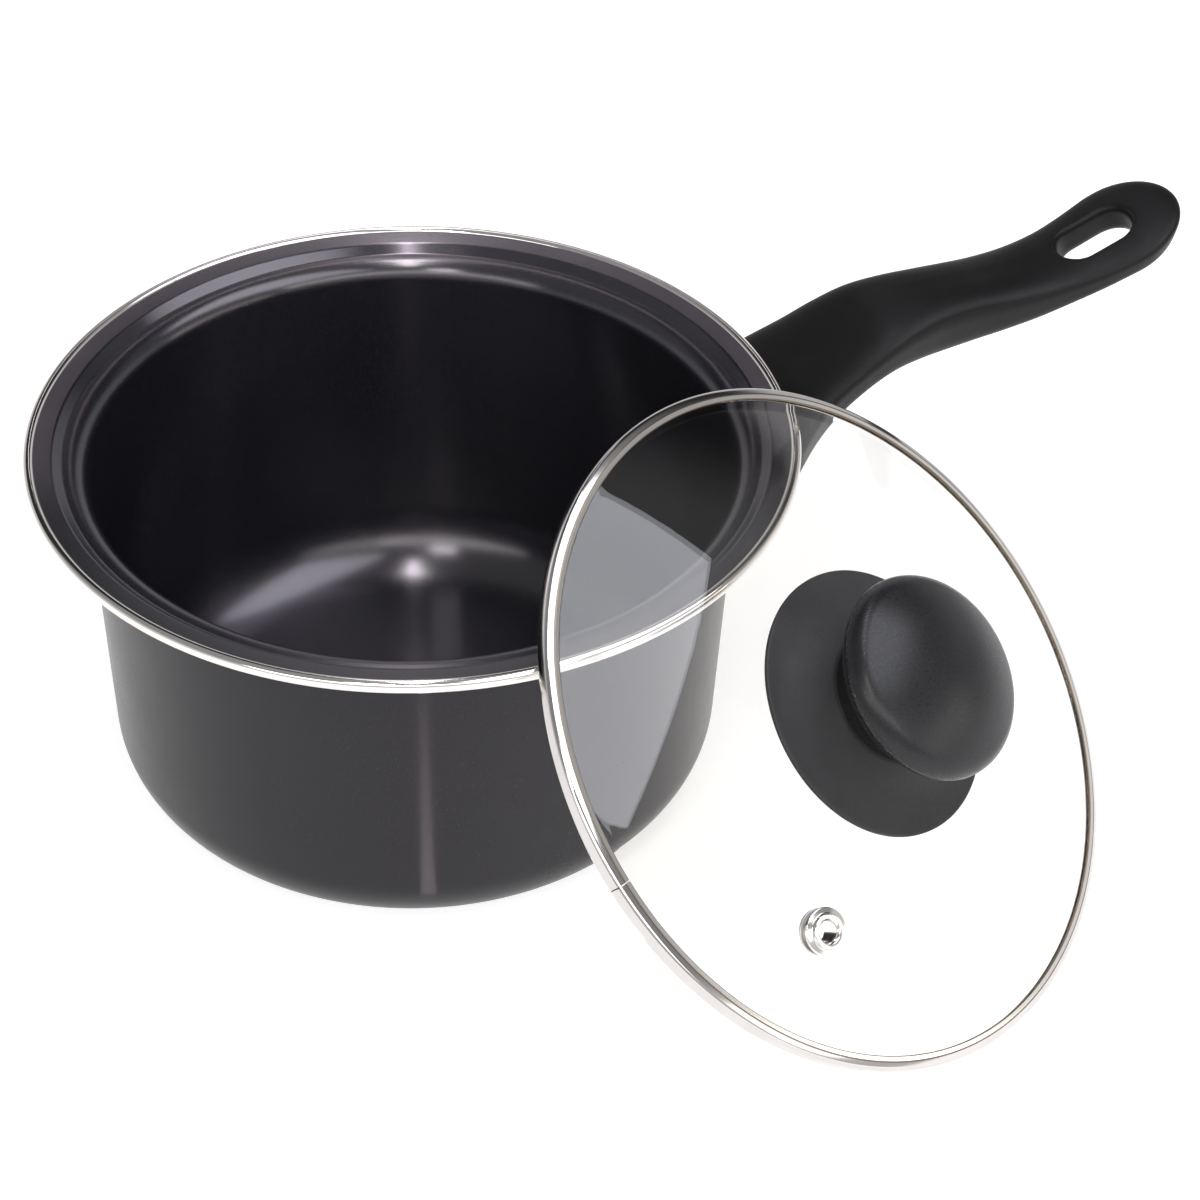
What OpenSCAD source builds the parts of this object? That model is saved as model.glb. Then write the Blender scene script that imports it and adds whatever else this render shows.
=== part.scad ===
// Saucepan with stepped rim, moulded side handle and a domed glass lid.
// The lid stands on its edge beside the pan and leans on the rim.
// Origin: centre of the pan base on the table. +X runs out along the handle, +Z up. Millimetres.

/* [Pan] */
// outside diameter over the bright rim ring
rim_d = 180; // [140:1:260]
// height of the pan over the rim ring
pan_h = 92.5; // [60:0.5:160]
// outside diameter of the wall just under the stepped rim
wall_top_d = 152.4; // [110:0.2:230]
// outside diameter of the wall where it meets the base corner
wall_base_d = 146.2; // [100:0.2:225]
// outside radius between wall and base
corner_r = 18; // [6:0.5:30]
// thickness of the pressed sheet
sheet_t = 1; // [0.6:0.1:3]
// inside diameter of the step that takes the lid
seat_d = 162.2; // [120:0.2:240]
// depth of the lid seat below the top of the rim
seat_depth = 3.1; // [2:0.1:8]

/* [Handle] */
// distance from the pan axis to the far end of the handle
handle_reach = 203.2; // [150:0.5:320]
// extra height added to the whole handle
handle_lift = 0; // [-10:0.5:20]
// width scale of the grip
grip_scale = 1; // [0.8:0.05:1.3]
// width of the hanging slot
slot_w = 11.6; // [6:0.2:14]
// length of the hanging slot over its round ends
slot_len = 20; // [12:0.2:30]

/* [Lid] */
// outside diameter of the steel band
lid_d = 161.5; // [120:0.5:240]
// height of the steel band
band_h = 4.6; // [3:0.1:8]
// height of the dome above the top of the band
dome_h = 14.4; // [6:0.2:30]
// thickness of the toughened glass
glass_t = 3.2; // [2.5:0.1:5]
// distance of the steam vent from the lid centre
vent_r = 55.5; // [30:0.5:90]
// diameter of the steam hole
vent_hole_d = 4.8; // [2:0.1:8]

/* [Knob] */
// diameter of the skirt that covers the middle of the glass
skirt_d = 62.4; // [40:0.2:80]
// largest diameter of the knob head
head_d = 47.2; // [30:0.2:60]
// height of the knob above the top of the band
knob_top = 40.6; // [30:0.2:60]

/* [Lid resting place] */
// position of the lid centre along the handle direction
lid_x = 65.78; // [0:0.1:200]
// position of the lid centre across the handle direction
lid_y = -94.73; // [-200:0.1:0]
// height of the lid centre above the table
lid_z = 58.86; // [20:0.1:120]
// compass direction the knob points to
lid_azimuth = -56.88; // [-180:0.05:180]
// angle of the knob axis above the table
lid_elevation = 46.5; // [0:0.05:90]

/* [Hidden] */
$fn = 96;

steel = [0.80, 0.80, 0.81];
coating = [0.10, 0.10, 0.11];
phenolic = [0.06, 0.06, 0.065];
clear_glass = [0.86, 0.92, 0.90, 0.35];
brass = [0.78, 0.62, 0.32];
silicone = [0.30, 0.30, 0.31];
bare_steel = [0.62, 0.62, 0.63];

// ---- pan profile values ----
base_z = corner_r;                                  // height of the corner arc centre
taper = atan((wall_top_d - wall_base_d) / 2 / (pan_h - 9 - corner_r));
corner_x = wall_base_d / 2 - corner_r / cos(taper); // radius of the corner arc centre
shoulder_r = 4.6;                                   // inside radius of the bend under the seat
seat_z = pan_h - seat_depth;                        // height of the lid seat
shoulder_z = seat_z - shoulder_r;                   // height of the bend centre
step_x = 2.2;                                       // the riser leans out by this much
step_z = 1.8;                                       // height of the riser above the seat
hem_r = rim_d / 2 - 0.6;                            // outer face of the turned-down sheet edge
hem_top = pan_h - 0.55;                             // top of the sheet edge under the ring
hem_leg = 1.75;                                     // length of the turned-down edge
bead_w = 2.6;                                       // width of the rim ring
bead_h = 3.1;                                       // height of the rim ring
ring_gap = 0.3;                                     // open butt joint of the rim ring
ring_joint_angle = 110;                             // direction of the butt joint

function wall_r(z, t) = corner_x + (corner_r - t) / cos(taper) + (z - base_z) * tan(taper);
shoulder_x = wall_r(shoulder_z, sheet_t) + shoulder_r;

// flat base
module floor_section() {
  square([corner_x, sheet_t]);
}

// bend between base and wall
module corner_section() {
  reach = corner_r * 3;
  translate([corner_x, base_z]) intersection() {
    difference() {
      circle(r = corner_r);
      circle(r = corner_r - sheet_t);
    }
    polygon([[0, 0], [0, -reach], [reach, -reach], [reach * cos(taper), -reach * sin(taper)]]);
  }
}

module wall_section() {
  polygon([
    [corner_x + corner_r * cos(taper), base_z - corner_r * sin(taper)],
    [corner_x + (corner_r - sheet_t) * cos(taper), base_z - (corner_r - sheet_t) * sin(taper)],
    [wall_r(shoulder_z, sheet_t), shoulder_z],
    [wall_r(shoulder_z, sheet_t) + sheet_t, shoulder_z]]);
}

// bend between the wall and the lid seat
module shoulder_section() {
  translate([shoulder_x, shoulder_z]) intersection() {
    difference() {
      circle(r = shoulder_r);
      circle(r = shoulder_r - sheet_t);
    }
    translate([-2 * shoulder_r, 0]) square([2 * shoulder_r, 2 * shoulder_r]);
  }
}

// seat, riser, flared lip and the edge turned down inside the rim ring
module lip_section() {
  seat_r = seat_d / 2;
  polygon([
    [shoulder_x, seat_z - sheet_t], [shoulder_x, seat_z], [seat_r, seat_z],
    [seat_r + step_x, seat_z + step_z], [hem_r - 1.4, hem_top], [hem_r, hem_top],
    [hem_r, hem_top - hem_leg], [hem_r - sheet_t, hem_top - hem_leg],
    [hem_r - sheet_t, hem_top - sheet_t], [hem_r - 1.4, hem_top - sheet_t],
    [seat_r + step_x + 0.35, seat_z + step_z - sheet_t - 0.05],
    [seat_r + 0.4, seat_z - sheet_t]]);
}

// the pressed sheet: base and wall
module pan_shell() {
  color(coating) union() {
    rotate_extrude() floor_section();
    rotate_extrude() corner_section();
    rotate_extrude() wall_section();
  }
}

// the same sheet from the top of the wall outwards: shoulder, lid seat, riser and flared lip
module pan_lip() {
  color(coating) union() {
    rotate_extrude() shoulder_section();
    rotate_extrude() lip_section();
  }
}

module bead_section() {
  r = bead_w / 2;
  x = rim_d / 2 - r;
  difference() {
    union() {
      translate([x, pan_h - r]) circle(r = r);
      translate([x, pan_h - bead_h + r]) circle(r = r);
      translate([x - r, pan_h - bead_h + r]) square([bead_w, bead_h - bead_w]);
    }
    lip_section();
    translate([x - r - 1, hem_top - hem_leg]) square([hem_r - x + r + 1, hem_leg - sheet_t / 2]);
  }
}

// bright steel ring folded over the sheet edge, with its open butt joint
module rim_ring() {
  color(steel) difference() {
    rotate_extrude() bead_section();
    rotate([0, 0, ring_joint_angle]) translate([rim_d / 2 - 6, -ring_gap / 2, pan_h - 10])
      cube([12, ring_gap, 20]);
  }
}

// ---- handle values ----
saddle_t = 1.6;      // bracket plate against the wall
saddle_w = 34;       // width of the bracket plate
saddle_low = 44;     // lower edge of the bracket plate
saddle_high = 64;    // upper edge of the bracket plate
tongue_w = 14;       // width of the tongue inside the handle
tongue_t = 3;        // thickness of the tongue
tongue_len = 30;     // length of the tongue
tongue_x = 76.5;     // where the tongue leaves the wall
tongue_z = 58.5;     // height where the tongue leaves the wall
tongue_tilt = 45;    // the tongue climbs at this angle
screw_along = 10;    // distance of the screw along the tongue
screw_d = 5;         // handle screw thread diameter
screw_head_d = 9;    // handle screw head diameter
screw_head_h = 2.6;  // handle screw head height
washer_t = 1;        // washer thickness
washer_d = 10;       // washer diameter
seat_drop = 3;       // distance from the tongue middle to the washer seat

// handle shape: distance from the pan axis, height of the top face, half width, depth
handle_rows = [
  [72, 62.65, 27.8, 25.6], [80, 70.64, 27.4, 23.2], [86, 76.83, 25.7, 19.95],
  [91, 81.55, 23.6, 17], [97, 86.1, 20.55, 14.75], [104, 90.25, 18.15, 13.3],
  [112, 94.3, 16.85, 12.35], [120, 97.45, 15.65, 12.25], [128, 99.15, 14, 13.25],
  [136, 99.85, 12.55, 14], [145, 99.8, 11.8, 13.45], [153, 99.5, 11.8, 12.3],
  [162, 99.8, 12.15, 11.05], [171, 101.1, 12.9, 9.8], [179, 103.2, 14.2, 8.9],
  [186, 105.9, 15.25, 8.7], [188.6, 107, 15.3, 9]];
rows = len(handle_rows);
end_half = 15.3;     // half width of the round end
end_x = handle_reach - 0.954 * end_half;  // the rounded side keeps inside the half width
end_slope = 0.4;     // the round end climbs at this gradient
end_steps = 9;
end_turn = 86;       // the last section is swung round to this angle on both sides
crown = 1.1;         // the top face is crowned by this much
side_pull = 0.88;    // the underside is this much narrower than the top

// one cross-section, running round from beside the top middle
ring_n = 28;
function edge_pow(v, p) = sign(v) * pow(abs(v), p);
function section_point(row, k) = let (
    a = -360 * (k + 0.5) / ring_n,
    across = edge_pow(sin(a), 0.4),
    up = edge_pow(cos(a), 0.5),
    w = row[2] * grip_scale,
    lean = 1 - (1 - side_pull) * (1 - up) / 2)
  [row[0], w * across * lean,
   row[1] + handle_lift - row[3] / 2 + row[3] / 2 * up
     - (up > 0 ? crown * across * across * up : 0)];
// the last section swung round the upright line through its middle
function end_point(a, k) = let (p = section_point(handle_rows[rows - 1], k), out = abs(p[1]) * sin(a))
  [end_x + out, p[1] * cos(a), p[2] + out * end_slope];
handle_points = concat(
  [for (row = handle_rows) for (k = [0 : ring_n - 1])
    let (p = section_point(row, k)) [row == handle_rows[rows - 1] ? end_x : p[0], p[1], p[2]]],
  [for (i = [1 : end_steps]) for (k = [0 : ring_n - 1]) end_point(end_turn * i / end_steps, k)]);
sections = rows + end_steps;
final = (sections - 1) * ring_n;
handle_faces = concat(
  [[for (k = [0 : ring_n - 1]) k]],
  [for (k = [0 : ring_n / 2 - 2])
    [final + ring_n - 1 - k, final + ring_n - 2 - k, final + k + 1, final + k]],
  [for (s = [0 : sections - 2]) for (k = [0 : ring_n - 1])
    [s * ring_n + k, (s + 1) * ring_n + k, (s + 1) * ring_n + (k + 1) % ring_n]],
  [for (s = [0 : sections - 2]) for (k = [0 : ring_n - 1])
    [s * ring_n + k, (s + 1) * ring_n + (k + 1) % ring_n, s * ring_n + (k + 1) % ring_n]]);

slot_x = handle_reach - 21.9;   // middle of the hanging slot at the top face
slot_z = 104 + handle_lift;     // level of the top face there
slot_tilt = 20;                 // the slot is square to the climbing end of the handle

// wall of the pan as a cone, grown by g
module wall_cone(g, z0, z1) {
  translate([0, 0, z0]) cylinder(h = z1 - z0, r1 = wall_r(z0, 0) + g, r2 = wall_r(z1, 0) + g);
}

// puts things on the tongue: X along it, Z across its thickness
module on_tongue() {
  translate([tongue_x, 0, tongue_z]) rotate([0, -tongue_tilt, 0]) children();
}

module handle_bracket() {
  color(bare_steel) difference() {
    union() {
      intersection() {
        wall_cone(saddle_t, saddle_low, saddle_high);
        translate([60, -saddle_w / 2, saddle_low]) cube([30, saddle_w, saddle_high - saddle_low]);
      }
      on_tongue() translate([-6, -tongue_w / 2, -tongue_t / 2])
        cube([tongue_len + 6, tongue_w, tongue_t]);
    }
    wall_cone(0, saddle_low - 8, saddle_high + 8);
    on_tongue() translate([screw_along, 0, -10]) cylinder(h = 20, d = screw_d);
  }
}

module handle() {
  color(phenolic) difference() {
    polyhedron(points = handle_points, faces = handle_faces, convexity = 6);
    wall_cone(0.4, 20, 88);
    // recess for the bracket plate
    intersection() {
      wall_cone(saddle_t, saddle_low, saddle_high);
      translate([60, -saddle_w / 2, saddle_low]) cube([30, saddle_w, saddle_high - saddle_low]);
    }
    // socket for the tongue
    on_tongue() translate([-8, -tongue_w / 2, -tongue_t / 2])
      cube([tongue_len + 8, tongue_w, tongue_t]);
    // screw hole and the pocket for its head
    on_tongue() translate([screw_along, 0, -10]) cylinder(h = 10 + tongue_t, d = screw_d);
    on_tongue() translate([screw_along, 0, -40]) cylinder(h = 40 - seat_drop, d = washer_d + 0.6);
    hang_slot();
  }
}

module hang_slot() {
  run = slot_len - slot_w;
  translate([slot_x, 0, slot_z]) rotate([0, -slot_tilt, 0]) {
    for (s = [-1, 1]) translate([s * run / 2, 0, -25]) cylinder(h = 50, d = slot_w);
    translate([-run / 2, -slot_w / 2, -25]) cube([run, slot_w, 50]);
  }
}

module handle_washer() {
  color(steel) on_tongue() translate([screw_along, 0, -seat_drop - washer_t]) difference() {
    cylinder(h = washer_t, d = washer_d);
    translate([0, 0, -1]) cylinder(h = washer_t + 2, d = screw_d);
  }
}

module handle_screw() {
  under_head = -seat_drop - washer_t;
  color(steel) on_tongue() translate([screw_along, 0, 0]) difference() {
    union() {
      translate([0, 0, under_head - screw_head_h]) cylinder(h = screw_head_h, d = screw_head_d);
      translate([0, 0, under_head]) cylinder(h = -under_head + tongue_t / 2, d = screw_d);
    }
    // cross recess in the head
    for (a = [0, 90]) rotate([0, 0, a]) translate([-2.6, -0.55, under_head - screw_head_h - 1])
      cube([5.2, 1.1, 2.4]);
  }
}

// ---- lid values, built upright: Z is the knob axis, zero at the top of the band ----
edge_r = lid_d / 2 - 3.2;                                       // radius where the band lip ends
lip_t = 0.57;                                                   // thickness of the band lips
dome_rise = dome_h + lip_t;
dome_r = (edge_r * edge_r + dome_rise * dome_rise) / (2 * dome_rise); // outer dome radius
dome_z = dome_h - dome_r;                                       // height of the dome centre
edge_low = dome_z + sqrt(pow(dome_r - glass_t, 2) - edge_r * edge_r);
glass_r = lid_d / 2 - 0.9;                                      // radius of the glass disc
band_corner = 1.4;                                              // outer rounding of the band
band_joint_angle = -97;                                         // direction of the band joint
band_gap = 0.3;                                                 // open butt joint of the band
bolt_d = 4;                                                     // knob screw thread
glass_hole_d = 8;                                               // hole in the middle of the glass
gasket_t = 1;
gasket_sag = 0.17;                                              // the glass curves away by this
washer_top = dome_h - glass_t - gasket_sag - gasket_t;          // top of the steel washer
ring_sag = 0.07;                                                // same curve over the vent ring
fine = 720;                                                     // smooth circles for the dome
hub_z = dome_h + gasket_t;                                      // underside of the knob hub
neck_z = 17.4;                                                  // where skirt and neck meet
neck_r = 15.2;                                                  // neck radius at the skirt
vent_angle = -59.2;                                             // direction of the vent
vent_barrel_d = 7;                                              // barrel through the glass
vent_flange_d = 10.8;                                           // flange on the glass

module on_rest() {
  translate([lid_x, lid_y, lid_z]) rotate([0, 90 - lid_elevation, lid_azimuth]) children();
}

// puts things on the dome at the vent, Z square to the glass
module on_vent() {
  translate([0, 0, dome_z]) rotate([0, asin(vent_r / dome_r), vent_angle])
    translate([0, 0, dome_r]) children();
}

module lid_glass() {
  color(clear_glass) on_rest() difference() {
    rotate_extrude() {
      intersection() {
        difference() {
          translate([0, dome_z]) circle(r = dome_r, $fn = fine);
          translate([0, dome_z]) circle(r = dome_r - glass_t, $fn = fine);
        }
        translate([0, edge_low - 0.01]) square([edge_r, dome_h + glass_t + 10]);
      }
      translate([edge_r, edge_low]) square([glass_r - edge_r, -lip_t - edge_low]);
    }
    cylinder(h = 2 * dome_h, d = glass_hole_d);
    on_vent() translate([0, 0, -10]) cylinder(h = 20, d = vent_barrel_d);
  }
}

module band_section() {
  out = lid_d / 2;
  c = 0.28;
  difference() {
    union() {
      for (z = [-band_corner, -band_h + band_corner])
        translate([out - band_corner, z]) circle(r = band_corner);
      for (z = [-c, -band_h + c]) translate([edge_r + c, z]) circle(r = c);
      translate([edge_r + c, -band_h]) square([out - band_corner - edge_r - c, band_h]);
      translate([out - 2 * band_corner, -band_h + band_corner])
        square([2 * band_corner, band_h - 2 * band_corner]);
      translate([edge_r, -band_h + c]) square([2, band_h - 2 * c]);
    }
    translate([edge_r - 1, edge_low]) square([glass_r - edge_r + 1, -lip_t - edge_low]);
  }
}

module lid_band() {
  color(steel) on_rest() difference() {
    rotate_extrude() band_section();
    rotate([0, 0, band_joint_angle]) translate([lid_d / 2 - 8, -band_gap / 2, -band_h - 5])
      cube([16, band_gap, band_h + 10]);
  }
}

// stepped steam eyelet: flange on the glass, raised collar, barrel through the glass
module vent_eyelet() {
  color(steel) on_rest() on_vent() difference() {
    union() {
      cylinder(h = 0.9, d = vent_flange_d);
      cylinder(h = 1.7, d = vent_flange_d - 3);
      translate([0, 0, -glass_t - 0.9]) cylinder(h = glass_t + 1.5, d = vent_barrel_d);
    }
    translate([0, 0, -15]) cylinder(h = 30, d = vent_hole_d);
  }
}

// ring under the glass that the eyelet barrel is rolled against
module vent_back_ring() {
  color(steel) on_rest() on_vent() translate([0, 0, -glass_t - 0.9]) difference() {
    cylinder(h = 0.9 - ring_sag, d = vent_flange_d - 0.6);
    translate([0, 0, -1]) cylinder(h = 3, d = vent_barrel_d);
  }
}

// shallow skirt with a hollow top face and a hollow underside
module knob_skirt() {
  edge = skirt_d / 2;
  edge_z = dome_z + sqrt(dome_r * dome_r - edge * edge);
  color(phenolic) on_rest() rotate_extrude() difference() {
    polygon([[bolt_d / 2 + 2, hub_z], [9, hub_z], [9, hub_z + 0.4], [28.5, edge_z + 1.0],
      [28.5, edge_z - 0.6], [edge, edge_z - 0.6], [edge, edge_z + 1.0], [neck_r + 0.4, neck_z],
      [bolt_d / 2 + 2, neck_z]]);
    translate([edge - 0.3, edge_z + 29.2]) circle(r = 28, $fn = fine);
    translate([0, dome_z]) circle(r = dome_r, $fn = fine);
  }
}

// mushroom head on a short neck
module knob_head() {
  color(phenolic) on_rest() difference() {
    rotate_extrude() knob_profile();
    translate([0, 0, neck_z - 1]) cylinder(h = 13, d = 7);
  }
}

head_widest = 30.8;  // height of the widest place of the head
head_shoulder = 5.5; // radius of its shoulder

// a shallow cap that rolls over a tight shoulder, and a hollow underside down to the neck
module knob_profile() {
  r = head_d / 2;
  centre_x = r - head_shoulder;
  rise = knob_top - head_widest;
  drop = (centre_x * centre_x - pow(rise - head_shoulder, 2)) / (2 * (rise - head_shoulder));
  cap_r = rise + drop;
  join = atan2(drop, centre_x);
  polygon(concat(
    [[0, neck_z], [neck_r, neck_z], [neck_r, 21], [neck_r + 1.4, 23.2], [neck_r + 4.4, 25.2],
      [r - 1.4, 28.4], [r - 0.3, head_widest - 1]],
    [for (i = [0 : 5]) [centre_x + head_shoulder * cos(join * i / 5),
      head_widest + head_shoulder * sin(join * i / 5)]],
    [for (i = [1 : 7]) let (a = join + (90 - join) * i / 7)
      [i == 7 ? 0 : cap_r * cos(a), head_widest - drop + cap_r * sin(a)]]));
}

module knob_insert() {
  color(brass) on_rest() translate([0, 0, neck_z - 1 + 0.6]) difference() {
    cylinder(h = 12.4, d = 7);
    translate([0, 0, -1]) cylinder(h = 12, d = bolt_d);
  }
}

module knob_screw() {
  color(steel) on_rest() difference() {
    union() {
      translate([0, 0, washer_top - 1]) cylinder(h = 17, d = bolt_d);
      translate([0, 0, washer_top - 1 - 2.4]) cylinder(h = 2.4, d = 8);
    }
    for (a = [0, 90]) rotate([0, 0, a]) translate([-2.3, -0.5, washer_top - 5])
      cube([4.6, 1, 3]);
  }
}

module knob_washer() {
  color(steel) on_rest() translate([0, 0, washer_top - 1]) difference() {
    cylinder(h = 1, d = 14);
    translate([0, 0, -1]) cylinder(h = 3, d = bolt_d);
  }
}

module gasket_upper() {
  color(silicone) on_rest() translate([0, 0, dome_h]) difference() {
    cylinder(h = gasket_t, d = 17);
    translate([0, 0, -1]) cylinder(h = 3, d = bolt_d);
  }
}

module gasket_lower() {
  color(silicone) on_rest() translate([0, 0, washer_top]) difference() {
    cylinder(h = gasket_t, d = 16);
    translate([0, 0, -1]) cylinder(h = 3, d = bolt_d);
  }
}

pan_shell();
pan_lip();
rim_ring();
handle_bracket();
handle();
handle_screw();
handle_washer();
lid_glass();
lid_band();
vent_eyelet();
vent_back_ring();
knob_skirt();
knob_head();
knob_insert();
knob_screw();
knob_washer();
gasket_upper();
gasket_lower();
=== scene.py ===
"""Saucepan with a glass lid leaning on it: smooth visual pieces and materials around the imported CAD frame.

Everything is in metres in the CAD frame. The lengths of the pieces are written in millimetres and scaled by
MM; the camera, the lamps and the scales of the noises are in metres.
"""
import math

import bmesh
import bpy
from mathutils import Matrix, Vector


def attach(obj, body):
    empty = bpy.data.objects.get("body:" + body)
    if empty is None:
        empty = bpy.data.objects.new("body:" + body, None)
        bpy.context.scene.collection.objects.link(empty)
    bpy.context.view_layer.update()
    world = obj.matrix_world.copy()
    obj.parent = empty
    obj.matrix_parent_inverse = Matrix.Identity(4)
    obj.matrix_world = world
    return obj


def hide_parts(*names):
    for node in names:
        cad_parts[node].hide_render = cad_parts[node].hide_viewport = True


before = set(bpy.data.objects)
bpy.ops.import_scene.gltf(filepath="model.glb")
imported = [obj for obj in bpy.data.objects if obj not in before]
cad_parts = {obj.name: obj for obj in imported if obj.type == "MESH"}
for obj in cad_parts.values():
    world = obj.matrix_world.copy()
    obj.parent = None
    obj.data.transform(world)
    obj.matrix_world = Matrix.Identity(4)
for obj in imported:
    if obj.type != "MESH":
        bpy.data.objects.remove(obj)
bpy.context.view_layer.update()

MM = 0.001
TURNS_RING, TURNS_WIDE, TURNS, TURNS_SMALL = 320, 256, 192, 96      # facets round a turned piece
scene = bpy.context.scene

# ---------------------------------------------------------------- camera
CAMERA_AT = (-0.2432, -0.6335, 0.5912)
CAMERA_RIGHT = Vector((0.91418261, -0.40482732, 0.01962146))
CAMERA_UP = Vector((0.2404311, 0.58064367, 0.77784691))
LENS = 108.134           # on a 36 mm sensor

camera = bpy.data.objects.new("camera", bpy.data.cameras.new("camera"))
scene.collection.objects.link(camera)
back = CAMERA_RIGHT.cross(CAMERA_UP)
camera.matrix_world = Matrix((
    (CAMERA_RIGHT.x, CAMERA_UP.x, back.x, CAMERA_AT[0]),
    (CAMERA_RIGHT.y, CAMERA_UP.y, back.y, CAMERA_AT[1]),
    (CAMERA_RIGHT.z, CAMERA_UP.z, back.z, CAMERA_AT[2]),
    (0, 0, 0, 1)))
camera.data.lens = LENS
camera.data.sensor_width = 36
camera.data.clip_start = 0.01
camera.data.clip_end = 50
scene.camera = camera
scene.view_settings.view_transform = "Standard"
scene.view_settings.look = "None"


# ---------------------------------------------------------------- mesh helpers
def arc(centre, radius, a0, a1, n=10):
    """Points on an arc from angle a0 to a1, in degrees."""
    return [(centre[0] + radius * math.cos(math.radians(a0 + (a1 - a0) * i / n)),
             centre[1] + radius * math.sin(math.radians(a0 + (a1 - a0) * i / n))) for i in range(n + 1)]


def rounded(corners, n=6, closed=True):
    """An outline from (r, z, rounding) corners."""
    out = []
    count = len(corners)
    for i, corner in enumerate(corners):
        p, q = Vector(corner[:2]), corner[2] if len(corner) > 2 else 0
        if q <= 0 or (not closed and i in (0, count - 1)):
            out.append((p.x, p.y))
            continue
        a, b = Vector(corners[i - 1][:2]), Vector(corners[(i + 1) % count][:2])
        u, v = (a - p).normalized(), (b - p).normalized()
        half = math.acos(max(-1, min(1, u.dot(v)))) / 2
        if abs(half - math.pi / 2) < 1e-3:
            out.append((p.x, p.y))
            continue
        run = min(q / math.tan(half), (a - p).length * 0.49, (b - p).length * 0.49)
        radius = run * math.tan(half)
        centre = p + (u + v).normalized() * (radius / math.sin(half))
        start, end = p + u * run - centre, p + v * run - centre
        turn = start.angle_signed(end)
        for k in range(n + 1):
            w = -turn * k / n
            out.append((centre.x + start.x * math.cos(w) - start.y * math.sin(w),
                        centre.y + start.x * math.sin(w) + start.y * math.cos(w)))
    return out


def spline(points, n=8):
    """Catmull-Rom points through the given ones."""
    out = []
    for i in range(len(points) - 1):
        p0, p1, p2, p3 = points[max(i - 1, 0)], points[i], points[i + 1], points[min(i + 2, len(points) - 1)]
        for k in range(n):
            t = k / n
            out.append(tuple(0.5 * (2 * b + (c - a) * t + (2 * a - 5 * b + 4 * c - d) * t * t
                                    + (3 * b - a - 3 * c + d) * t ** 3)
                             for a, b, c, d in zip(p0, p1, p2, p3)))
    out.append(tuple(points[-1]))
    return out


def shade(o, sharp):
    """Smooth, with an edge wherever the surface turns by more than sharp degrees."""
    o.data.shade_smooth()
    o.data.set_sharp_from_angle(angle=math.radians(sharp))


def link_mesh(name, verts, faces):
    mesh = bpy.data.meshes.new(name)
    mesh.from_pydata(verts, [], faces)
    made = bpy.data.objects.new(name, mesh)
    scene.collection.objects.link(made)
    return made


def solid(name, verts, faces, matrix=None, sharp=35, merge=1e-7, sliver=None):
    """A closed mesh with its double points merged and its faces turned outwards."""
    made = link_mesh(name, verts, faces)
    work = bmesh.new()
    work.from_mesh(made.data)
    bmesh.ops.remove_doubles(work, verts=work.verts, dist=merge)
    if sliver:
        bmesh.ops.dissolve_degenerate(work, edges=work.edges, dist=sliver)
    bmesh.ops.recalc_face_normals(work, faces=work.faces)
    work.to_mesh(made.data)
    work.free()
    shade(made, sharp)
    if matrix is not None:
        made.data.transform(matrix)
    return made


def side_faces(rings, n):
    """Quads between neighbouring rings of n points each."""
    return [(s * n + k, (s + 1) * n + k, (s + 1) * n + (k + 1) % n, s * n + (k + 1) % n)
            for s in range(rings - 1) for k in range(n)]


def lathe(name, outline, steps=TURNS, start=0.0, sweep=360.0, matrix=None, closed=True, sharp=35):
    """Turns an (r, z) outline in mm about Z. An outline that isn't closed runs from axis to axis."""
    whole = sweep >= 360
    rings = steps if whole else steps + 1
    verts, faces = [], []
    n = len(outline)
    for i in range(rings):
        a = math.radians(start + sweep * i / steps)
        for r, z in outline:
            verts.append((r * math.cos(a) * MM, r * math.sin(a) * MM, z * MM))
    for i in range(steps):
        j = (i + 1) % rings
        for k in range(n if closed else n - 1):
            m = (k + 1) % n
            faces.append((i * n + k, j * n + k, j * n + m, i * n + m))
    if not whole:
        faces.append(tuple(range(n)))
        faces.append(tuple((rings - 1) * n + k for k in reversed(range(n))))
    return solid(name, verts, faces, matrix, sharp, merge=2e-7, sliver=1e-8)


def apply_modifiers(o):
    bpy.context.view_layer.update()
    evaluated = o.evaluated_get(bpy.context.evaluated_depsgraph_get())
    mesh = bpy.data.meshes.new_from_object(evaluated)
    o.modifiers.clear()
    o.data = mesh


def cut(o, cutter):
    mod = o.modifiers.new("cut", "BOOLEAN")
    mod.operation, mod.solver, mod.object = "DIFFERENCE", "EXACT", cutter
    apply_modifiers(o)
    bpy.data.objects.remove(cutter)


# ---------------------------------------------------------------- material helpers
def material(name, **values):
    m = bpy.data.materials.new(name)
    m.use_nodes = True
    shader = m.node_tree.nodes["Principled BSDF"]
    for key, value in values.items():
        shader.inputs[key.replace("_", " ")].default_value = value
    return m, m.node_tree, shader


def node(tree, kind, inputs=None, **settings):
    made = tree.nodes.new(kind)
    for key, value in settings.items():
        setattr(made, key, value)
    for key, value in (inputs or {}).items():
        made.inputs[key].default_value = value
    return made


def noise(tree, scale, detail, rough=0.55):
    made = node(tree, "ShaderNodeTexNoise", {"Scale": scale, "Detail": detail, "Roughness": rough})
    tree.links.new(node(tree, "ShaderNodeTexCoord").outputs["Object"], made.inputs["Vector"])
    return made.outputs["Fac"]


def span(tree, source, low, high, out_low, out_high):
    """Moves a value from the range low to high onto out_low to out_high, and holds it there."""
    made = node(tree, "ShaderNodeMapRange",
                {"From Min": low, "From Max": high, "To Min": out_low, "To Max": out_high})
    tree.links.new(source, made.inputs["Value"])
    return made.outputs["Result"]


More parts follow.
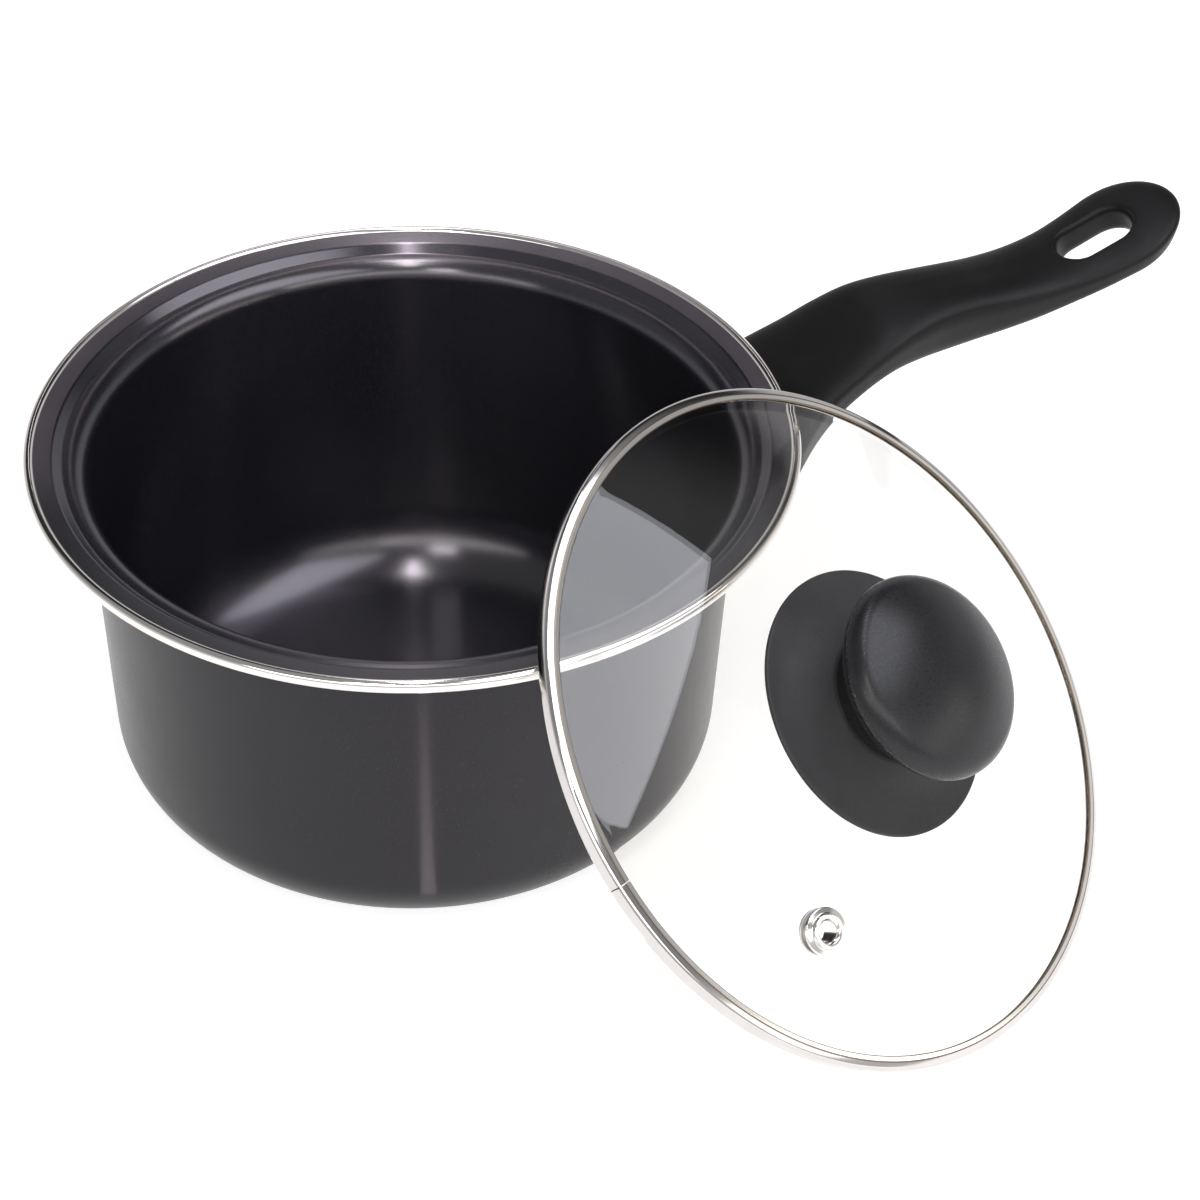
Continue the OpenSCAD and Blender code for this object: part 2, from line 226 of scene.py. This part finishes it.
def blend_colour(tree, factor, a, b):
    made = node(tree, "ShaderNodeMix", data_type="RGBA")
    made.inputs["A"].default_value = (*a, 1)
    made.inputs["B"].default_value = (*b, 1)
    tree.links.new(factor, made.inputs["Factor"])
    return made.outputs["Result"]


def bump(tree, shader, source, strength, distance):
    made = node(tree, "ShaderNodeBump", {"Strength": strength, "Distance": distance})
    tree.links.new(source, made.inputs["Height"])
    tree.links.new(made.outputs["Normal"], shader.inputs["Normal"])


def spun(tree, shader, amount):
    """Highlights stretch across the rings that spinning left in the sheet."""
    shader.inputs["Anisotropic"].default_value = amount
    shader.inputs["Anisotropic Rotation"].default_value = 0.25
    tangent = node(tree, "ShaderNodeTangent", direction_type="RADIAL", axis="Z")
    tree.links.new(tangent.outputs["Tangent"], shader.inputs["Tangent"])


# ---------------------------------------------------------------- materials
def coating(name, dark, light, rough, flake, stretch, sheen):
    """Non-stick coating: fine flakes in a dark base, on sheet that was spun."""
    m, tree, shader = material(name, Roughness=rough, Metallic=0.0, Specular_IOR_Level=sheen,
                               Specular_Tint=(1.0, 0.94, 1.0, 1))
    speck = noise(tree, 1900, 2)
    cloud = noise(tree, 40, 3)
    colour = blend_colour(tree, span(tree, speck, 0.55, 0.78, 0, 1), dark, light)
    tree.links.new(colour, shader.inputs["Base Color"])
    both = node(tree, "ShaderNodeMath", operation="ADD")
    tree.links.new(span(tree, speck, 0.3, 0.7, -flake, flake), both.inputs[0])
    tree.links.new(span(tree, cloud, 0.35, 0.65, rough - 0.015, rough + 0.015), both.inputs[1])
    tree.links.new(both.outputs[0], shader.inputs["Roughness"])
    bump(tree, shader, speck, 0.08, 0.00002)
    spun(tree, shader, stretch)
    return m


inside_coat = coating("coating_inside", (0.007, 0.007, 0.0092), (0.021, 0.0195, 0.025),
                      rough=0.2, flake=0.015, stretch=0.9, sheen=0.95)
outside_coat = coating("coating_outside", (0.005, 0.005, 0.0055), (0.017, 0.015, 0.017),
                       rough=0.24, flake=0.03, stretch=0.88, sheen=0.32)


def bright_steel(name, rough, colour=(0.82, 0.79, 0.75), brushed=0.0):
    """Polished steel with faint smudges; the hidden hardware is brushed."""
    m, tree, shader = material(name, Metallic=1.0, Roughness=rough)
    smudge = noise(tree, 90, 5)
    fine = noise(tree, 2400, 2)
    tint = blend_colour(tree, span(tree, smudge, 0.35, 0.7, 0, 1), colour, tuple(c * 0.93 for c in colour))
    tree.links.new(tint, shader.inputs["Base Color"])
    tree.links.new(span(tree, smudge, 0.3, 0.7, rough * 0.9, rough * 1.15), shader.inputs["Roughness"])
    bump(tree, shader, fine, 0.03, 0.00001)
    if brushed:
        spun(tree, shader, brushed)
    return m


trim_steel = bright_steel("trim_steel", 0.08)
# the band's top is a lighter copy of the steel, painted light, and its rolled side a darker copy, painted
# shade
band_top_lit = bright_steel("band_top_lit", 0.16, (0.95, 0.915, 0.86))
band_side_shaded = bright_steel("band_side_steel", 0.1, (0.64, 0.61, 0.59))
# dark copy of the band steel for the line at the glass and the fold line: painted shade
band_seam_shade = bright_steel("band_edge_steel", 0.3, (0.20, 0.155, 0.12))
eyelet_steel = bright_steel("eyelet_steel", 0.14)
zinc_steel = bright_steel("zinc_steel", 0.32, (0.60, 0.60, 0.61), 0.4)


def phenolic(name, dark, light, rough, grain, depth, sheen):
    """Moulded phenolic with a fine matte grain."""
    m, tree, shader = material(name, Roughness=rough, Specular_IOR_Level=sheen)
    pore = noise(tree, grain, 5, rough=0.6)
    cloud = noise(tree, 45, 4)
    tree.links.new(blend_colour(tree, span(tree, cloud, 0.35, 0.65, 0, 1), dark, light),
                   shader.inputs["Base Color"])
    tree.links.new(span(tree, pore, 0.35, 0.65, rough - 0.06, rough + 0.06), shader.inputs["Roughness"])
    bump(tree, shader, pore, 0.35, depth)
    return m


handle_black = phenolic("handle_phenolic", (0.0038, 0.0036, 0.0038), (0.0062, 0.0058, 0.006),
                        rough=0.42, grain=1600, depth=0.00005, sheen=0.2)
knob_black = phenolic("knob_phenolic", (0.008, 0.0078, 0.0088), (0.013, 0.0125, 0.014),
                      rough=0.31, grain=1700, depth=0.00004, sheen=0.36)
skirt_black = phenolic("skirt_phenolic", (0.016, 0.0155, 0.016), (0.028, 0.0265, 0.0275),
                       rough=0.58, grain=1300, depth=0.0001, sheen=0.42)

brass, tree, shader = material("turned_brass", Metallic=1.0, Roughness=0.28)
tree.links.new(blend_colour(tree, noise(tree, 300, 3), (0.70, 0.52, 0.24), (0.80, 0.64, 0.33)),
               shader.inputs["Base Color"])
spun(tree, shader, 0.5)

silicone, tree, shader = material("grey_silicone", Roughness=0.6)
tree.links.new(blend_colour(tree, noise(tree, 500, 4), (0.22, 0.22, 0.23), (0.30, 0.30, 0.31)),
               shader.inputs["Base Color"])
bump(tree, shader, noise(tree, 1800, 3), 0.2, 0.00003)


def clear_glass():
    """Faintly warm glass, slightly uneven; light passes it so that its shadow stays pale."""
    m, tree, shader = material("clear_glass", Roughness=0.0, IOR=1.5, Transmission_Weight=1.0)
    film = noise(tree, 22, 3)
    tree.links.new(blend_colour(tree, span(tree, film, 0.35, 0.65, 0, 1), (0.945, 0.930, 0.905),
                                (0.938, 0.922, 0.896)), shader.inputs["Base Color"])
    bump(tree, shader, noise(tree, 16, 2), 0.012, 0.0004)
    output = tree.nodes["Material Output"]
    clear = node(tree, "ShaderNodeBsdfTransparent", {"Color": (0.955, 0.95, 0.94, 1)})
    path = node(tree, "ShaderNodeLightPath")
    mix = node(tree, "ShaderNodeMixShader")
    tree.links.new(path.outputs["Is Shadow Ray"], mix.inputs["Fac"])
    tree.links.new(shader.outputs["BSDF"], mix.inputs[1])
    tree.links.new(clear.outputs["BSDF"], mix.inputs[2])
    tree.links.new(mix.outputs["Shader"], output.inputs["Surface"])
    return m


glass = clear_glass()


def give(o, *materials):
    o.data.materials.clear()
    for m in materials:
        o.data.materials.append(m)


def add(o, body, slot, replaced, *materials):
    """The finished piece, in the place of its CAD nodes."""
    give(o, *materials)
    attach(o, body)
    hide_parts(*replaced)


# ---------------------------------------------------------------- pan
RIM_R, PAN_H, SHEET = 90.0, 92.5, 1.0
WALL_TOP_R, WALL_TOP_Z, WALL_BASE_R, CORNER_R = 76.2, 83.5, 73.1, 18.0
SEAT_R, SEAT_Z, SHOULDER_R = 81.1, 89.4, 4.6
TAPER = math.atan((WALL_TOP_R - WALL_BASE_R) / (WALL_TOP_Z - CORNER_R))
CORNER_X = WALL_BASE_R - CORNER_R / math.cos(TAPER)
HEM_R, HEM_TOP, HEM_LEG = 89.4, 91.95, 1.75


def wall_r(z, t):
    """Radius of the tapered wall at z, at the depth t under its outside."""
    return CORNER_X + (CORNER_R - t) / math.cos(TAPER) + (z - CORNER_R) * math.tan(TAPER)


shoulder_z = SEAT_Z - SHOULDER_R
shoulder_x = wall_r(shoulder_z, SHEET) + SHOULDER_R
tilt = math.degrees(TAPER)
inner = ([(0, SHEET), (20, SHEET), (40, SHEET)]
         + arc((CORNER_X, CORNER_R), CORNER_R - SHEET, -90, -tilt, 22)
         + [(wall_r(z, SHEET), z) for z in (30, 45, 60, 75)]
         + arc((shoulder_x, shoulder_z), SHOULDER_R, 180, 90, 12)
         + rounded([(shoulder_x, SEAT_Z), (SEAT_R, SEAT_Z, 0.8), (83.3, 91.2, 1.5), (88.0, HEM_TOP, 2),
                    (HEM_R, HEM_TOP, 0.5), (HEM_R, HEM_TOP - HEM_LEG)], 6, False)[1:])
outer = (rounded([(HEM_R - SHEET, HEM_TOP - HEM_LEG), (HEM_R - SHEET, HEM_TOP - SHEET),
                  (HEM_R - 1.4, HEM_TOP - SHEET), (83.65, 90.15, 1.0), (81.5, 88.4, 1.2),
                  (shoulder_x, SEAT_Z - SHEET)], 5, False)
         + arc((shoulder_x, shoulder_z), SHOULDER_R - SHEET, 90, 180, 10)[1:]
         + [(wall_r(z, 0), z) for z in (75, 60, 45, 30)]
         + arc((CORNER_X, CORNER_R), CORNER_R, -tilt, -90, 22)
         + [(40, 0), (20, 0), (0, 0)])
pan = lathe("pan_shell_smooth", inner + outer, TURNS_WIDE, closed=False, sharp=50)
add(pan, "pan", "nonstick_shell", ("pan_shell", "pan_lip"), inside_coat, outside_coat)
# the second coating is on the faces that look outwards or down
for face in pan.data.polygons:
    radius = max(math.hypot(face.center.x, face.center.y), 1e-6)
    outward = (face.center.x * face.normal.x + face.center.y * face.normal.y) / radius
    face.material_index = int(outward > 0.05 or face.normal.z < -0.2)

# bright ring folded over the sheet edge, with its open butt joint
RING_JOINT, RING_GAP_DEG = 110.0, 0.19
BEAD_R, BEAD_X, RING_H = 1.3, RIM_R - 1.3, 3.1
ring_outline = (arc((BEAD_X, PAN_H - BEAD_R), BEAD_R, 0, 180, 16)
                + arc((BEAD_X, PAN_H - RING_H + BEAD_R), BEAD_R, 180, 360, 16))
ring = lathe("rim_ring_smooth", ring_outline, TURNS_RING, RING_JOINT + RING_GAP_DEG / 2, 360 - RING_GAP_DEG,
             sharp=60)
add(ring, "pan", "bright_steel", ("rim_ring",), trim_steel)

# ---------------------------------------------------------------- handle
HANDLE_ROWS = [               # distance out, level of the top face, half width, depth
    (72, 62.65, 27.8, 25.6), (80, 70.64, 27.4, 23.2), (86, 76.83, 25.7, 19.95), (91, 81.55, 23.6, 17),
    (97, 86.1, 20.55, 14.75), (104, 90.25, 18.15, 13.3), (112, 94.3, 16.85, 12.35),
    (120, 97.45, 15.65, 12.25), (128, 99.15, 14, 13.25), (136, 99.85, 12.55, 14), (145, 99.8, 11.8, 13.45),
    (153, 99.5, 11.8, 12.3), (162, 99.8, 12.15, 11.05), (171, 101.1, 12.9, 9.8), (179, 103.2, 14.2, 8.9),
    (186, 105.9, 15.25, 8.7), (188.6, 107, 15.3, 9)]
END_SLOPE, CROWN, SIDE_PULL = 0.4, 1.1, 0.88              # SIDE_PULL: width underneath over width on top
ACROSS_POWER, UP_POWER = 0.4, 0.5                         # below 1 squares the section
RING_N, END_TURNS, END_SWEEP = 112, 40, 89.5
rows = spline(HANDLE_ROWS, 6)


def power(v, p):
    return math.copysign(abs(v) ** p, v)


def handle_section(row):
    """A ring of points round the handle: a soft rectangle with a crowned top."""
    x, top, half, depth = row
    out = []
    for k in range(RING_N):
        a = 2 * math.pi * (k + 0.5) / RING_N
        across, up = power(math.sin(a), ACROSS_POWER), power(math.cos(a), UP_POWER)
        narrow = 1 - (1 - SIDE_PULL) * (1 - up) / 2
        z = top - depth / 2 + depth / 2 * up - (CROWN * across * across * up if up > 0 else 0)
        out.append((x * MM, half * across * narrow * MM, z * MM))
    return out


# the last section is swung round the upright line through its middle
sections = [handle_section(row) for row in rows]
for i in range(1, END_TURNS + 1):
    turn = math.radians(END_SWEEP * i / END_TURNS)
    sections.append([(x + abs(y) * math.sin(turn), y * math.cos(turn),
                      z + abs(y) * math.sin(turn) * END_SLOPE) for x, y, z in handle_section(rows[-1])])
last = (len(sections) - 1) * RING_N
end_strip = [(last + RING_N - 1 - k, last + RING_N - 2 - k, last + k + 1, last + k)
             for k in range(RING_N // 2 - 1)]
handle = solid("handle_smooth", [p for section in sections for p in section],
               [tuple(range(RING_N)), *end_strip, *side_faces(len(sections), RING_N)])

# trimmed to the pan wall, with a narrow gap
WALL_GAP, TRIM_LOW, TRIM_HIGH = 0.4, 10, 88
cut(handle, lathe("wall_cutter", [(0, TRIM_LOW), (wall_r(TRIM_LOW, 0) + WALL_GAP, TRIM_LOW),
                                  (wall_r(TRIM_HIGH, 0) + WALL_GAP, TRIM_HIGH), (0, TRIM_HIGH)],
                  TURNS_WIDE, closed=False))

# hanging slot, square to the climbing end, with a soft lip that follows both faces
SLOT_X, SLOT_TOP, SLOT_W, SLOT_LEN, SLOT_TILT = 181.3, 104.0, 11.6, 20.0, math.radians(20.0)
SLOT_N = 72


def handle_top(x):
    """Level of the top face and depth of the handle at x."""
    if x >= rows[-1][0]:
        return rows[-1][1] + (x - rows[-1][0]) * END_SLOPE, rows[-1][3]
    i = next(i for i in range(len(rows) - 1) if rows[i][0] <= x < rows[i + 1][0])
    a, b = rows[i], rows[i + 1]
    t = (x - a[0]) / (b[0] - a[0])
    return a[1] + (b[1] - a[1]) * t, a[3] + (b[3] - a[3]) * t


def slot_ring(offset, level, top):
    """A ring of the slot cutter, grown by offset, at a level over the top face or under the bottom face."""
    out = []
    run, radius = (SLOT_LEN - SLOT_W) / 2, SLOT_W / 2 + offset
    for k in range(SLOT_N):
        a = 2 * math.pi * (k + 0.5) / SLOT_N
        u = (run if math.cos(a) >= 0 else -run) + radius * math.cos(a)
        x = start = SLOT_X + u * math.cos(SLOT_TILT)
        for _ in range(6):                       # slides down the tilted axis to the wanted face
            face, depth = handle_top(x)
            z = face + level if top else face - depth - level
            x = start - (z - SLOT_TOP - u * math.sin(SLOT_TILT)) * math.tan(SLOT_TILT)
        out.append((x * MM, radius * math.sin(a) * MM, z * MM))
    return out


# offset and level of each ring, from over the top face (True) to under the bottom face
levels = [(2.6, 3, True), (1.35, 0.0, True), (0.9, -0.16, True), (0.5, -0.5, True), (0.2, -1.0, True),
          (0.0, -1.8, True), (0.0, -2.6, True), (0.0, -2.2, False), (0.25, -1.2, False), (0.7, -0.4, False),
          (1.2, 0.0, False), (2.4, 3, False)]
lowest = (len(levels) - 1) * SLOT_N
cut(handle, solid("slot_cutter", [p for ring_spec in levels for p in slot_ring(*ring_spec)],
                  [tuple(range(SLOT_N)), tuple(lowest + k for k in reversed(range(SLOT_N))),
                   *side_faces(len(levels), SLOT_N)]))

# pocket of the screw on the underside; TONGUE is the frame of the screw in the hidden bracket
TONGUE_AT, TONGUE_TILT, SCREW_OUT = (76.5, 0, 58.5), -45, 10
TONGUE = (Matrix.Translation([v * MM for v in TONGUE_AT])
          @ Matrix.Rotation(math.radians(TONGUE_TILT), 4, "Y") @ Matrix.Translation((SCREW_OUT * MM, 0, 0)))
POCKET_R, POCKET_FROM, POCKET_TO = 5.3, -40, -3
cut(handle, lathe("pocket_cutter", [(0, POCKET_FROM), (POCKET_R, POCKET_FROM), (POCKET_R, POCKET_TO),
                                    (0, POCKET_TO)], 64, matrix=TONGUE, closed=False))

# one moulded skin with soft edges
SKIN = 0.42
mod = handle.modifiers.new("skin", "REMESH")
mod.mode, mod.voxel_size, mod.use_smooth_shade = "VOXEL", SKIN * MM, True
mod = handle.modifiers.new("soft", "SMOOTH")
mod.factor, mod.iterations = 0.5, 5
apply_modifiers(handle)
handle.data.shade_smooth()
add(handle, "pan", "phenolic", ("handle",), handle_black)

# ---------------------------------------------------------------- lid
LID_AT, LID_AZ, LID_EL = (65.78, -94.73, 58.86), -56.88, 46.5
LID = (Matrix.Translation([v * MM for v in LID_AT]) @ Matrix.Rotation(math.radians(LID_AZ), 4, "Z")
       @ Matrix.Rotation(math.radians(90 - LID_EL), 4, "Y"))
LID_R, BAND_H, DOME_H, GLASS_T, LIP_T = 80.75, 4.6, 14.4, 3.2, 0.57
EDGE_R, GLASS_R = LID_R - 3.2, LID_R - 0.9               # inner edge of the band, edge of the glass
RISE = DOME_H + LIP_T
DOME_R = (EDGE_R ** 2 + RISE ** 2) / (2 * RISE)
DOME_Z = DOME_H - DOME_R
EDGE_LOW = DOME_Z + math.sqrt((DOME_R - GLASS_T) ** 2 - EDGE_R ** 2)


def dome(r, drop=0.0):
    """Level of the top of the glass at r, or of the sphere that lies deeper by drop."""
    return DOME_Z + math.sqrt((DOME_R - drop) ** 2 - r * r)


HOLE_R, SEAM = 4.0, 0.06
steps_out = [HOLE_R + (EDGE_R - 0.3 - HOLE_R) * i / 40 for i in range(41)]
glass_outline = ([(r, dome(r)) for r in steps_out] + [(EDGE_R + 0.4, -LIP_T - SEAM)]
                 + rounded([(GLASS_R - 2, -LIP_T - SEAM), (GLASS_R - SEAM, -LIP_T - SEAM, 0.8),
                            (GLASS_R - SEAM, EDGE_LOW + SEAM, 0.8), (GLASS_R - 2, EDGE_LOW + SEAM)], 5, False)
                 + [(r, dome(r, GLASS_T)) for r in reversed(steps_out)])
pane = lathe("lid_glass_smooth", glass_outline, TURNS_WIDE, matrix=LID, sharp=50)
VENT_ANGLE, VENT_R, VENT_HOLE_R = -59.2, 55.5, 3.5
VENT = (LID @ Matrix.Translation((0, 0, DOME_Z * MM)) @ Matrix.Rotation(math.radians(VENT_ANGLE), 4, "Z")
        @ Matrix.Rotation(math.asin(VENT_R / DOME_R), 4, "Y") @ Matrix.Translation((0, 0, DOME_R * MM)))
cut(pane, lathe("vent_cutter", [(0, -10), (VENT_HOLE_R, -10), (VENT_HOLE_R, 10), (0, 10)], 48, matrix=VENT,
                closed=False))
shade(pane, 50)
add(pane, "lid", "clear_glass", ("lid_glass",), glass)

# band rolled round the glass, with its open butt joint
BAND_JOINT, BAND_GAP_DEG = -97.0, 0.21
LINE_IN, LINE_OUT = EDGE_R + 1.2, EDGE_R + 1.55         # the fold line between the top and the rolled side
band_outline = rounded([
    (EDGE_R, -LIP_T, 0.2), (EDGE_R, 0, 0.26), (LINE_IN, -0.12, 0.1), (LINE_OUT, -0.23, 0.1),
    (LID_R, -0.75, 1.3), (LID_R, -BAND_H, 1.2), (EDGE_R, -BAND_H, 0.26),
    (EDGE_R, EDGE_LOW, 0.1), (GLASS_R, EDGE_LOW, 0.3), (GLASS_R, -LIP_T, 0.3)], 7)
band = lathe("lid_band_smooth", band_outline, TURNS_RING, BAND_JOINT + BAND_GAP_DEG / 2, 360 - BAND_GAP_DEG,
             matrix=LID, sharp=60)
add(band, "lid", "bright_steel", ("lid_band",), band_top_lit, band_seam_shade, band_side_shaded)
# painted shade: a dark line where the band meets the glass and in the fold line; the rolled side is
# painted darker than the top as shade, and the top is painted lighter as painted light
SEAM_SHADE_W, SIDE_FROM = 0.42, -1.5
LIT_TOP_FACE, SHADE_LINE_FACE, SHADED_SIDE_FACE = 0, 1, 2
to_lid = LID.inverted()
for face in band.data.polygons:
    at = to_lid @ face.center
    radius = math.hypot(at.x, at.y) / MM
    if at.z < SIDE_FROM * MM:
        face.material_index = SHADED_SIDE_FACE
    elif radius < EDGE_R + SEAM_SHADE_W or LINE_IN < radius < LINE_OUT:
        face.material_index = SHADE_LINE_FACE
    else:
        face.material_index = LIT_TOP_FACE if radius < LINE_IN else SHADED_SIDE_FACE

# steam eyelet and the ring behind it
eyelet_outline = rounded([
    (3.48, 0.02), (5.4, 0.02, 0.1), (5.4, 0.62, 0.35), (4.1, 0.95, 0.4), (3.75, 1.7, 0.3), (2.9, 1.62, 0.35),
    (2.4, 1.1, 0.4), (2.4, -4.1, 0.2), (3.48, -4.1, 0.15)], 6)
eyelet = lathe("vent_eyelet_smooth", eyelet_outline, TURNS_SMALL, matrix=VENT, sharp=50)
add(eyelet, "lid", "bright_steel", ("vent_eyelet",), eyelet_steel)
back_outline = rounded([(3.52, -3.3, 0.1), (5.1, -3.3, 0.15), (5.1, -4.1, 0.35), (3.52, -4.1, 0.2)], 5)
back_ring = lathe("vent_back_ring_smooth", back_outline, TURNS_SMALL, matrix=VENT, sharp=50)
add(back_ring, "lid", "plain_steel", ("vent_back_ring",), zinc_steel)

# knob skirt: a flat hub, a hollow underside and a top that sweeps up to the neck
SKIRT_R, NECK_R, NECK_Z, HUB_R, HUB_Z, BORE_R = 31.2, 15.2, 17.4, 9, DOME_H + 1.0, 4.2
FOOT_R, SWEEP_R, SWEEP = 28.5, 28, -33.2
edge_z = dome(SKIRT_R)
sweep_top = arc((SKIRT_R - 0.3, edge_z + 29.2), SWEEP_R, -90, -90 + SWEEP, 20)
skirt_outline = ([(BORE_R, HUB_Z), (HUB_R, HUB_Z), (HUB_R, HUB_Z + 0.4), (FOOT_R, edge_z + 0.9),
                  (FOOT_R, dome(FOOT_R) + 0.05)]
                 + rounded([(FOOT_R + 1, dome(FOOT_R + 1) + 0.05), (SKIRT_R, edge_z + 0.05, 0.25),
                            (SKIRT_R, edge_z + 1.2, 0.35), (SKIRT_R - 1.2, edge_z + 1.22)], 5, False)
                 + [p for p in sweep_top if p[0] < SKIRT_R - 1.3] + [(BORE_R, NECK_Z)])
skirt = lathe("knob_skirt_smooth", skirt_outline, matrix=LID, sharp=40)
add(skirt, "lid", "phenolic", ("knob_skirt",), skirt_black)

# knob head: neck, hollow under the cap and a full dome of two arcs, the small one at the widest place
HEAD_R, WIDEST, KNOB_TOP, SHOULDER = 23.6, 30.8, 40.6, 5.5
rise, inset = KNOB_TOP - WIDEST, HEAD_R - SHOULDER
drop = (inset ** 2 - (rise - SHOULDER) ** 2) / (2 * (rise - SHOULDER))
join = math.degrees(math.atan2(drop, inset))
cap = arc((inset, WIDEST), SHOULDER, 0, join, 14) + arc((0, WIDEST - drop), rise + drop, join, 90, 26)[1:]
cap[-1] = (0, KNOB_TOP)
under = spline([(NECK_R, NECK_Z), (NECK_R, 19.4), (NECK_R + 0.2, 21.4), (NECK_R + 1.4, 23.2), (19.6, 25.2),
                (22.0, 28.2), (23.2, 29.7), (HEAD_R, WIDEST)], 6)
INSERT_R, INSERT_TOP = 3.5, 29.4
bore = [(0, INSERT_TOP), (INSERT_R, INSERT_TOP), (INSERT_R, NECK_Z)]
head = lathe("knob_head_smooth", [*bore, *under[:-1], *cap], matrix=LID, closed=False, sharp=50)
add(head, "lid", "phenolic", ("knob_head",), knob_black)

# the hardware keeps its CAD mesh and gets its finish
for finish, names in ((zinc_steel, ("handle_bracket", "handle_screw", "handle_washer", "knob_screw",
                                    "knob_washer")),
                      (brass, ("knob_insert",)), (silicone, ("gasket_upper", "gasket_lower"))):
    for name in names:
        give(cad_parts[name], finish)

# ---------------------------------------------------------------- floor and light
FLOOR = 6.0
floor = link_mesh("floor", [(x * FLOOR, y * FLOOR, 0) for x, y in ((-1, -1), (1, -1), (1, 1), (-1, 1))],
                  [(0, 1, 2, 3)])
paper, tree, shader = material("white_table", Roughness=0.5, Specular_IOR_Level=0.2,
                               Emission_Color=(1, 1, 1, 1), Emission_Strength=0.79)
tree.links.new(blend_colour(tree, noise(tree, 40, 4), (0.49, 0.49, 0.49), (0.51, 0.51, 0.51)),
               shader.inputs["Base Color"])
give(floor, paper)


MIDDLE = (0.04, -0.05, 0.06)         # of the object


def lamp(name, size, strength, at, target=MIDDLE, roll=0.0, colour=(1, 1, 1)):
    """A soft box: strength is its radiance."""
    data = bpy.data.lights.new(name, "AREA")
    data.shape, data.size, data.size_y = "RECTANGLE", size[0], size[1]
    data.energy = strength * size[0] * size[1] * math.pi
    data.color = colour
    made = bpy.data.objects.new(name, data)
    scene.collection.objects.link(made)
    direction = Vector(target) - Vector(at)
    made.matrix_world = (Matrix.Translation(at) @ direction.to_track_quat("-Z", "Y").to_matrix().to_4x4()
                         @ Matrix.Rotation(math.radians(roll), 4, "Z"))


away = Vector((-CAMERA_AT[0], -CAMERA_AT[1], 0)).normalized()      # level direction the camera looks in


def toward(azimuth, elevation, distance, centre=MIDDLE):
    """A place in the given direction from the centre."""
    a, e = math.radians(azimuth), math.radians(elevation)
    return tuple(Vector(centre) + distance * Vector((math.cos(e) * math.cos(a), math.cos(e) * math.sin(a),
                                                     math.sin(e))))


PAN_AXIS = (0, 0, 0)
behind = math.degrees(math.atan2(-away.y, -away.x)) + 180          # azimuth of the far side, in degrees
# the box that shows in the glass over the pan, and the wide one that shows in the inner base corner
lamp("overhead", (0.975, 0.66), 3.5, (0.450, -0.320, 1.01), (0.450, -0.320, 0), 62, (0.90, 0.92, 1.0))
lamp("front_box", (2.8, 0.5), 3.4, toward(-113, 36, 1.7))
# two narrow strips for the upright streaks inside the pan
lamp("strip", (0.03, 0.85), 27, toward(behind, 83, 1.05, PAN_AXIS), PAN_AXIS, colour=(1.0, 0.95, 1.0))
lamp("low_strip", (0.05, 0.36), 2.6, toward(behind + 0.7, 48, 1.05, PAN_AXIS), PAN_AXIS,
     colour=(1.0, 0.90, 1.0))
lamp("key", (0.18, 0.18), 16, toward(-130, 52, 1.3))
lamp("right_card", (0.9, 0.3), 1.6, toward(-42, 13, 1.2), colour=(1.0, 0.93, 0.86))
# a faint line low in front of the pan, for the upright streak on its outside
GLOW_AZIMUTH = -109
glow_at = toward(GLOW_AZIMUTH, 0, 0.128, (0, 0, 0.001))
lamp("table_glow", (0.0045, 0.1), 2.6, glow_at, toward(GLOW_AZIMUTH, 86, 1, glow_at),
     colour=(1.0, 0.84, 0.95))

# a white room with a bright horizon, a darker ceiling and a dark opening high up behind the object
HORIZON, CEILING, OPENING = 0.65, 0.32, 0.03
CEILING_FROM, CEILING_TO = 0.36, 0.47            # sine of the height over the horizon
OPENING_FROM, OPENING_TO = 0.35, 0.62            # cosine of the angle from the level look direction
world = bpy.data.worlds.new("room")
scene.world = world
world.use_nodes = True
tree = world.node_tree
view = node(tree, "ShaderNodeTexCoord").outputs["Generated"]


def along(direction):
    """How far the view goes in the direction: the cosine of the angle to it."""
    made = node(tree, "ShaderNodeVectorMath", operation="DOT_PRODUCT")
    tree.links.new(view, made.inputs[0])
    made.inputs[1].default_value = direction
    return made.outputs["Value"]


def soft_step(source, low, high, out_low, out_high):
    """A span with soft ends."""
    result = span(tree, source, low, high, out_low, out_high)
    result.node.interpolation_type = "SMOOTHSTEP"
    return result


high_up = soft_step(along((0, 0, 1)), CEILING_FROM, CEILING_TO, 0, 1)
upper = soft_step(along(away), OPENING_FROM, OPENING_TO, CEILING, OPENING)
room = node(tree, "ShaderNodeMix", data_type="FLOAT")
tree.links.new(high_up, room.inputs[0])
room.inputs[2].default_value = HORIZON
tree.links.new(upper, room.inputs[3])
tree.links.new(room.outputs[0], tree.nodes["Background"].inputs["Strength"])
tree.nodes["Background"].inputs["Color"].default_value = (0.97, 0.98, 1.0, 1)
